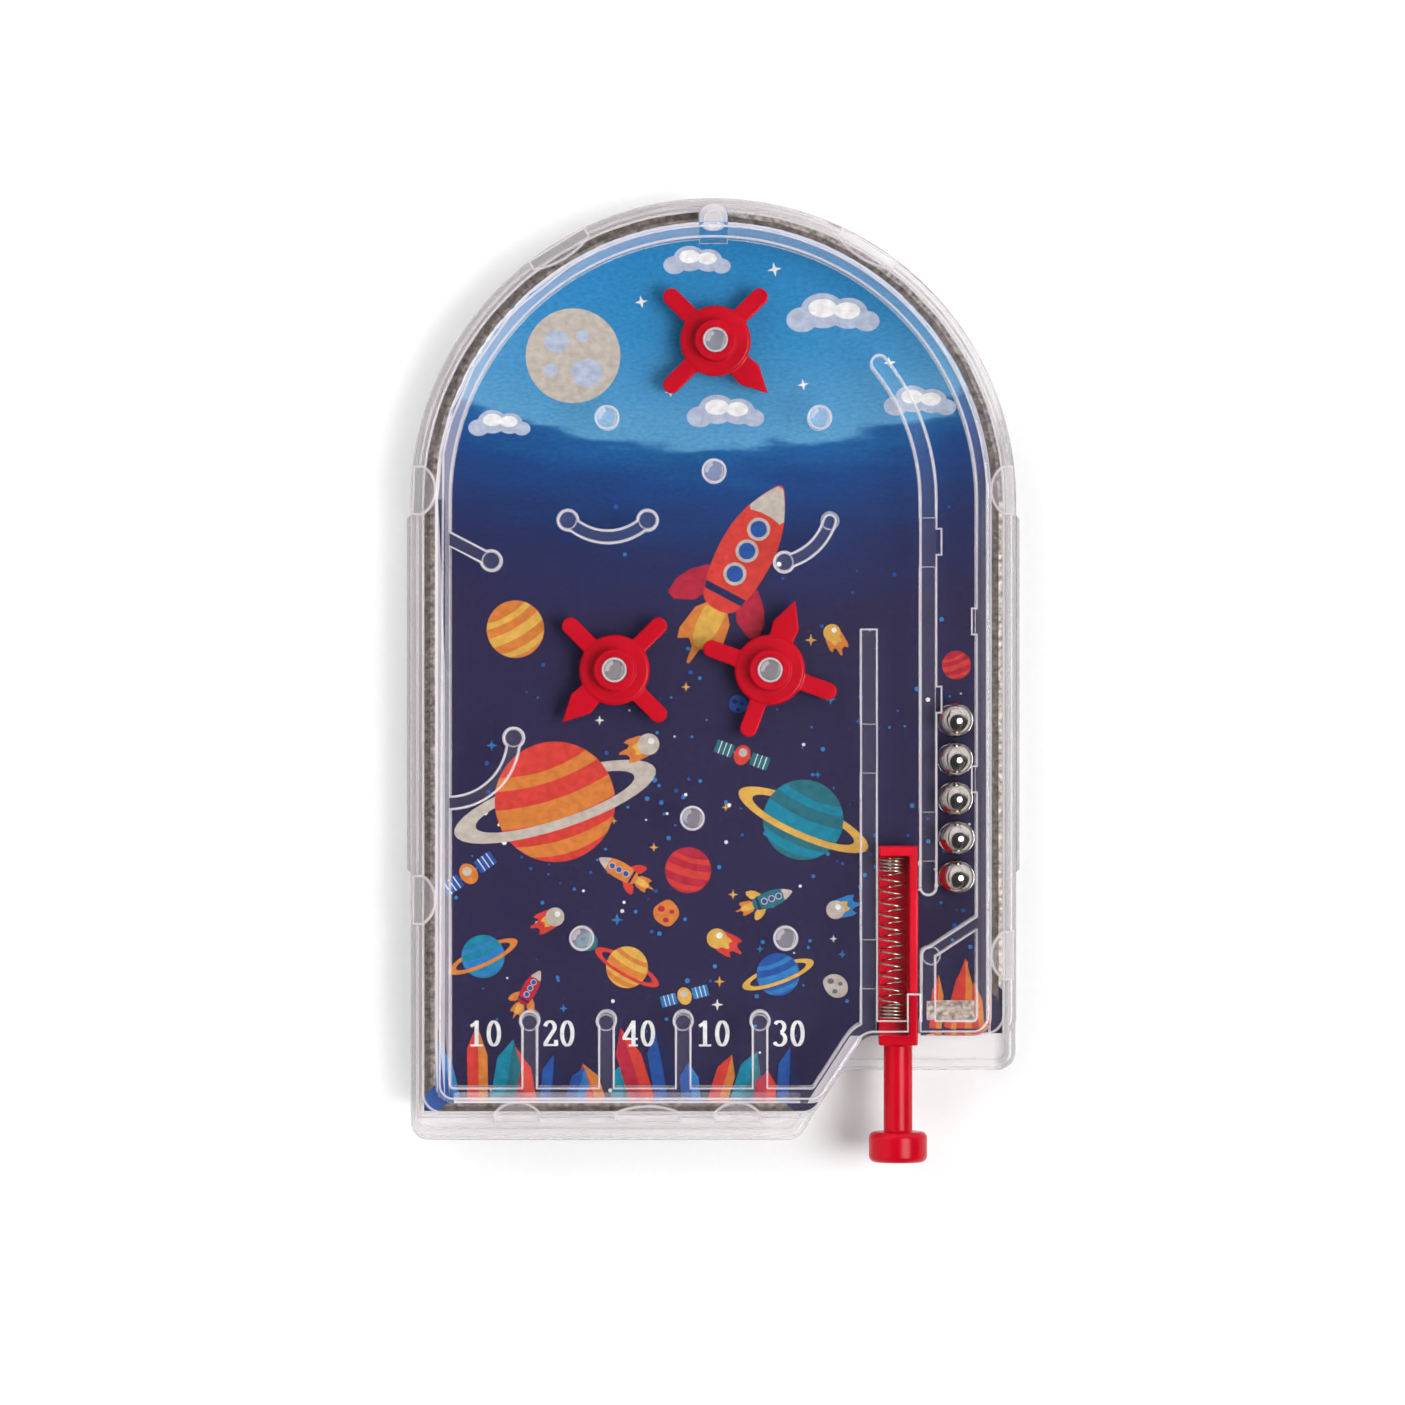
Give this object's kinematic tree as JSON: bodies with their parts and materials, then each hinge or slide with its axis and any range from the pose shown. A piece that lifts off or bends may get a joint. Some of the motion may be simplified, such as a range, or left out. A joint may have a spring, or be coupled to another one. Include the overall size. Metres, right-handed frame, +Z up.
{
  "type": "pocket pinball game",
  "caption": "Flat clear case with an arched end, printed card, turning spinners, pegs and rails, steel balls in a side channel, and a sprung plunger that fires them.",
  "frame": {"origin": "centre of the overall length and width, on the table that the game lies on", "axes": "+X to the plunger side, +Y towards the arched end, +Z up out of the playing side"},
  "size_m": [0.0852, 0.1338, 0.0157],
  "materials": {
    "clear_plastic": "gloss",
    "printed_board": "satin",
    "red_plastic": "gloss",
    "spring_steel": "polished",
    "ball_steel": "polished"
  },
  "bodies": {
    "case": {"base": "clear_plastic", "card": "printed_board", "cover": "clear_plastic", "spring": "spring_steel"},
    "plunger": {"plunger": "red_plastic"},
    "spinner_top": {"spinner_top": "red_plastic"},
    "spinner_left": {"spinner_left": "red_plastic"},
    "spinner_right": {"spinner_right": "red_plastic"},
    "ball_1": {"ball_1": "ball_steel"},
    "ball_2": {"ball_2": "ball_steel"},
    "ball_3": {"ball_3": "ball_steel"},
    "ball_4": {"ball_4": "ball_steel"},
    "ball_5": {"ball_5": "ball_steel"}
  },
  "joints": [
    {"name": "plunger_pull", "type": "slide", "parent": "case", "child": "plunger", "axis": [0, -1, 0], "range_m": [0, 0.013], "stiffness_N_per_m": 60, "springref_m": -0.004, "deforming": ["spring"]},
    {"name": "spinner_top_turn", "type": "hinge", "parent": "case", "child": "spinner_top", "pos_m": [0.0003, 0.0469, 0.0107], "axis": [0, 0, 1], "continuous": true},
    {"name": "spinner_left_turn", "type": "hinge", "parent": "case", "child": "spinner_left", "pos_m": [-0.01368, 0.0013, 0.0107], "axis": [0, 0, 1], "continuous": true},
    {"name": "spinner_right_turn", "type": "hinge", "parent": "case", "child": "spinner_right", "pos_m": [0.00785, 0.0013, 0.0107], "axis": [0, 0, 1], "continuous": true},
    {"name": "ball_1_roll", "type": "slide", "parent": "case", "child": "ball_1", "axis": [0, 1, 0], "range_m": [-0.0038, 0.029]},
    {"name": "ball_2_roll", "type": "slide", "parent": "case", "child": "ball_2", "axis": [0, 1, 0], "range_m": [-0.0038, 0.029]},
    {"name": "ball_3_roll", "type": "slide", "parent": "case", "child": "ball_3", "axis": [0, 1, 0], "range_m": [-0.0038, 0.029]},
    {"name": "ball_4_roll", "type": "slide", "parent": "case", "child": "ball_4", "axis": [0, 1, 0], "range_m": [-0.0038, 0.029]},
    {"name": "ball_5_roll", "type": "slide", "parent": "case", "child": "ball_5", "axis": [0, 1, 0], "range_m": [-0.0038, 0.029]}
  ],
  "couplings": [
    {"joint": "ball_2_roll", "follows": "ball_1_roll", "ratio": 1},
    {"joint": "ball_3_roll", "follows": "ball_1_roll", "ratio": 1},
    {"joint": "ball_4_roll", "follows": "ball_1_roll", "ratio": 1},
    {"joint": "ball_5_roll", "follows": "ball_1_roll", "ratio": 1}
  ]
}
